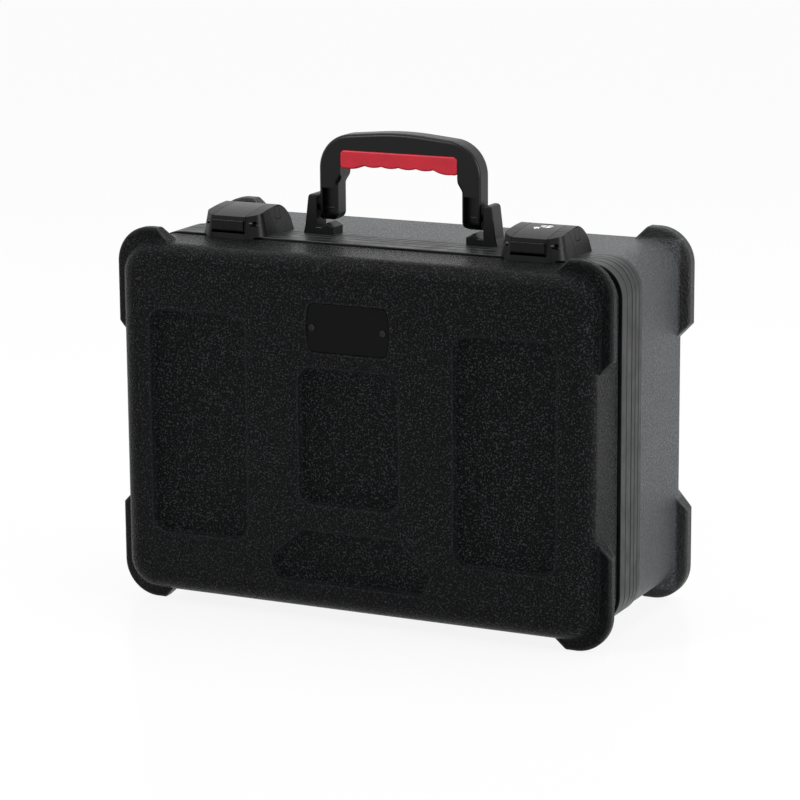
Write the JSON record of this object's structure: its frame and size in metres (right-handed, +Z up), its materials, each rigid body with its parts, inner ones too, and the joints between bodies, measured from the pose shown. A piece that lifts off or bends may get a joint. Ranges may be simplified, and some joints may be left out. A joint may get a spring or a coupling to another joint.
{
  "type": "microphone case",
  "caption": "Hard carrying case with a hinged lid, lever latches, corner bumpers, a folding handle and foam drops for hand microphones.",
  "frame": {"origin": "under the middle of the case, on the surface it stands on", "axes": "+Z up, +Y from the lid's front to the base's rear, +X to the right seen from the lid"},
  "size_m": [0.456, 0.21, 0.4051],
  "materials": {
    "shell_plastic": "pebbled moulded polyethylene",
    "edge_aluminium": "black coated, satin",
    "seal_rubber": "matte",
    "plate_black": "satin, bare",
    "screw_dark": "black oxide",
    "rivet_steel": "zinc plated",
    "hinge_steel": "black coated",
    "latch_plastic": "fine satin",
    "lever_plastic": "satin",
    "cover_gloss": "gloss black",
    "pin_steel": "plain steel",
    "handle_plastic": "satin nylon",
    "grip_red": "soft satin",
    "lock_chrome": "satin chrome",
    "foam_grey": "open-cell foam"
  },
  "bodies": {
    "base": {"base_shell": "shell_plastic", "base_valance": "edge_aluminium", "base_joiner": "edge_aluminium", "base_valance_rivets": "rivet_steel", "hinge_rivets_base": "rivet_steel", "latch_rivets_base": "rivet_steel", "bracket_screws": "rivet_steel", "backing_plate": "rivet_steel", "base_foam": "foam_grey", "foam_liner": "foam_grey", "hinge_leaf_base_left": "hinge_steel", "hinge_pin_left": "hinge_steel", "keeper_left": "latch_plastic", "strike_pin_left": "pin_steel", "handle_bracket_left": "handle_plastic", "handle_pin_left": "pin_steel", "hinge_leaf_base_right": "hinge_steel", "hinge_pin_right": "hinge_steel", "keeper_right": "latch_plastic", "strike_pin_right": "pin_steel", "handle_bracket_right": "handle_plastic", "handle_pin_right": "pin_steel"},
    "lid": {"lid_shell": "shell_plastic", "lid_valance": "edge_aluminium", "lid_joiner": "edge_aluminium", "lid_valance_rivets": "rivet_steel", "hinge_rivets_lid": "rivet_steel", "gasket": "seal_rubber", "name_plate": "plate_black", "name_plate_screws": "screw_dark", "latch_rivets_lid": "rivet_steel", "lid_foam": "foam_grey", "hinge_leaf_lid_left": "hinge_steel", "latch_housing_left": "latch_plastic", "lever_pin_left": "pin_steel", "hinge_leaf_lid_right": "hinge_steel", "latch_housing_right": "latch_plastic", "lever_pin_right": "pin_steel"},
    "handle": {"handle_body": "handle_plastic", "handle_grip": "grip_red"},
    "lock": {"lock_cylinder": "lock_chrome", "lock_cam": "pin_steel"},
    "lever_left": {"lever_left": "lever_plastic", "lever_cover_left": "cover_gloss", "claw_pin_left": "pin_steel", "claw_spring_left": "pin_steel"},
    "claw_left": {"claw_left": "pin_steel"},
    "lever_right": {"lever_right": "lever_plastic", "lever_cover_right": "cover_gloss", "claw_pin_right": "pin_steel", "claw_spring_right": "pin_steel", "lock_indicator": "lock_chrome"},
    "claw_right": {"claw_right": "pin_steel"}
  },
  "joints": [
    {"name": "lid_hinge", "type": "hinge", "parent": "base", "child": "lid", "pos_m": [0, -0.021, 0.0062], "axis": [1, 0, 0], "range_deg": [0, 100]},
    {"name": "handle_swing", "type": "hinge", "parent": "base", "child": "handle", "pos_m": [0, 0.0037, 0.337], "axis": [1, 0, 0], "range_deg": [-90, 90]},
    {"name": "lever_lift_left", "type": "hinge", "parent": "lid", "child": "lever_left", "pos_m": [-0.139, -0.0468, 0.3268], "axis": [1, 0, 0], "range_deg": [0, 70]},
    {"name": "claw_swing_left", "type": "hinge", "parent": "lever_left", "child": "claw_left", "pos_m": [-0.139, -0.027, 0.3286], "axis": [1, 0, 0], "range_deg": [-21, 0]},
    {"name": "lever_lift_right", "type": "hinge", "parent": "lid", "child": "lever_right", "pos_m": [0.139, -0.0468, 0.3268], "axis": [1, 0, 0], "range_deg": [0, 70]},
    {"name": "claw_swing_right", "type": "hinge", "parent": "lever_right", "child": "claw_right", "pos_m": [0.139, -0.027, 0.3286], "axis": [1, 0, 0], "range_deg": [-21, 0]},
    {"name": "lock_turn", "type": "hinge", "parent": "lever_right", "child": "lock", "pos_m": [0.1405, -0.0156, 0.3342], "axis": [0, 0, 1], "range_deg": [0, 90]}
  ],
  "couplings": [
    {"joint": "claw_swing_left", "follows": "lever_lift_left", "ratio": -0.3},
    {"joint": "claw_swing_right", "follows": "lever_lift_right", "ratio": -0.3}
  ]
}
